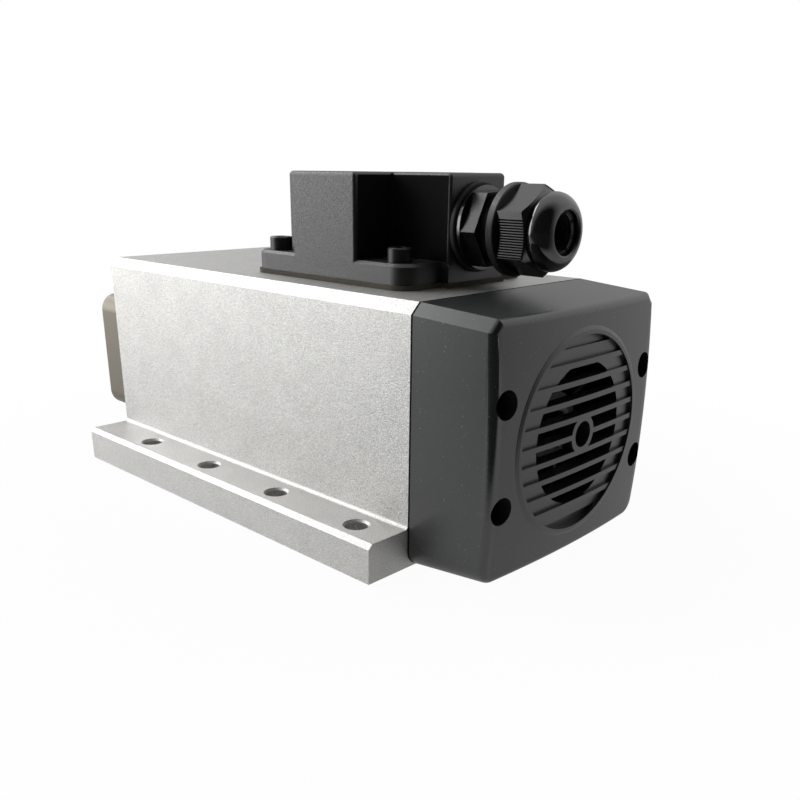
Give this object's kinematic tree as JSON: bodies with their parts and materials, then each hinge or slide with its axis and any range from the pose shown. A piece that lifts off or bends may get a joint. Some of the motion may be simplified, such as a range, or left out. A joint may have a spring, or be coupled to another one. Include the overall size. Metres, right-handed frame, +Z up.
{
  "type": "motor spindle",
  "caption": "Air-cooled square motor spindle: flanged aluminium housing, collet nose with clamping nut, rear fan cover with grille, and a junction box with cable gland on top.",
  "frame": {"origin": "centre of the foot bolt pattern, on the mounting face under the housing", "axes": "+X along the spindle axis from the tool nose to the fan cover, +Z up from the mounting face to the junction box, +Y across the feet"},
  "size_m": [0.2213, 0.11, 0.1035],
  "materials": {
    "anodised_aluminium": "bead-blasted silver anodised",
    "champagne_metal": "warm grey satin",
    "black_steel": "black oxide",
    "turned_steel": "fine turned",
    "bearing_steel": "ground",
    "ground_steel": "ground",
    "electrical_steel": "laminated",
    "copper_winding": "varnished copper",
    "cast_aluminium": "cast and machined",
    "spring_steel": "blued",
    "charcoal_plastic": "fine moulded grain",
    "black_rubber": "matt",
    "black_plastic": "moulded grain",
    "terminal_plastic": "plain",
    "brass_plated": "nickel plated brass",
    "lead_insulation": "silicone insulation",
    "gland_nylon": "semi-gloss nylon",
    "seal_rubber": "matt",
    "fan_plastic": "moulded"
  },
  "bodies": {
    "housing": {"motor_body": "anodised_aluminium", "front_bearing_block": "champagne_metal", "front_block_screws": "black_steel", "front_bearing_cap": "turned_steel", "front_cap_screws": "black_steel", "front_bearing_outer_rings": "bearing_steel", "stator_core": "electrical_steel", "stator_windings": "copper_winding", "rear_end_shield": "cast_aluminium", "rear_bearing_outer_ring": "bearing_steel", "preload_spring": "spring_steel", "fan_cover": "charcoal_plastic", "fan_cover_screws": "black_steel", "junction_box_gasket": "black_rubber", "junction_box": "black_plastic", "junction_box_screws": "black_steel", "terminal_block": "terminal_plastic", "terminal_screws": "brass_plated", "motor_leads": "lead_insulation", "gland_washer": "seal_rubber", "gland_body": "gland_nylon"},
    "rotor": {"rotor_shaft": "ground_steel", "front_bearing_inner_rings": "bearing_steel", "rear_bearing_inner_ring": "bearing_steel", "rotor_core": "electrical_steel", "rotor_cage_rings": "cast_aluminium", "labyrinth_nut": "turned_steel", "cooling_fan": "fan_plastic", "fan_circlip": "spring_steel"},
    "collet": {"collet": "ground_steel"},
    "collet_nut": {"collet_nut": "turned_steel"},
    "gland_insert": {"gland_seal": "seal_rubber", "gland_claw": "gland_nylon"},
    "gland_nut": {"gland_cap_nut": "gland_nylon"}
  },
  "joints": [
    {"name": "spindle_spin", "type": "hinge", "parent": "housing", "child": "rotor", "pos_m": [0, 0, 0.0365], "axis": [-1, 0, 0], "continuous": true},
    {"name": "collet_travel", "type": "slide", "parent": "rotor", "child": "collet", "axis": [-1, 0, 0], "range_m": [0, 0.0015]},
    {"name": "collet_nut_turn", "type": "hinge", "parent": "collet", "child": "collet_nut", "pos_m": [-0.12595, 0, 0.0365], "axis": [-1, 0, 0], "range_deg": [0, 720]},
    {"name": "gland_insert_travel", "type": "slide", "parent": "housing", "child": "gland_insert", "axis": [1, 0, 0], "range_m": [-0.00225, 0.003]},
    {"name": "gland_nut_turn", "type": "hinge", "parent": "gland_insert", "child": "gland_nut", "pos_m": [0.06615, 0, 0.089], "axis": [1, 0, 0], "range_deg": [-540, 720]}
  ],
  "couplings": [
    {"joint": "collet_travel", "follows": "collet_nut_turn", "m_per_rad": 0.00011937},
    {"joint": "gland_insert_travel", "follows": "gland_nut_turn", "m_per_rad": 0.00023873}
  ]
}
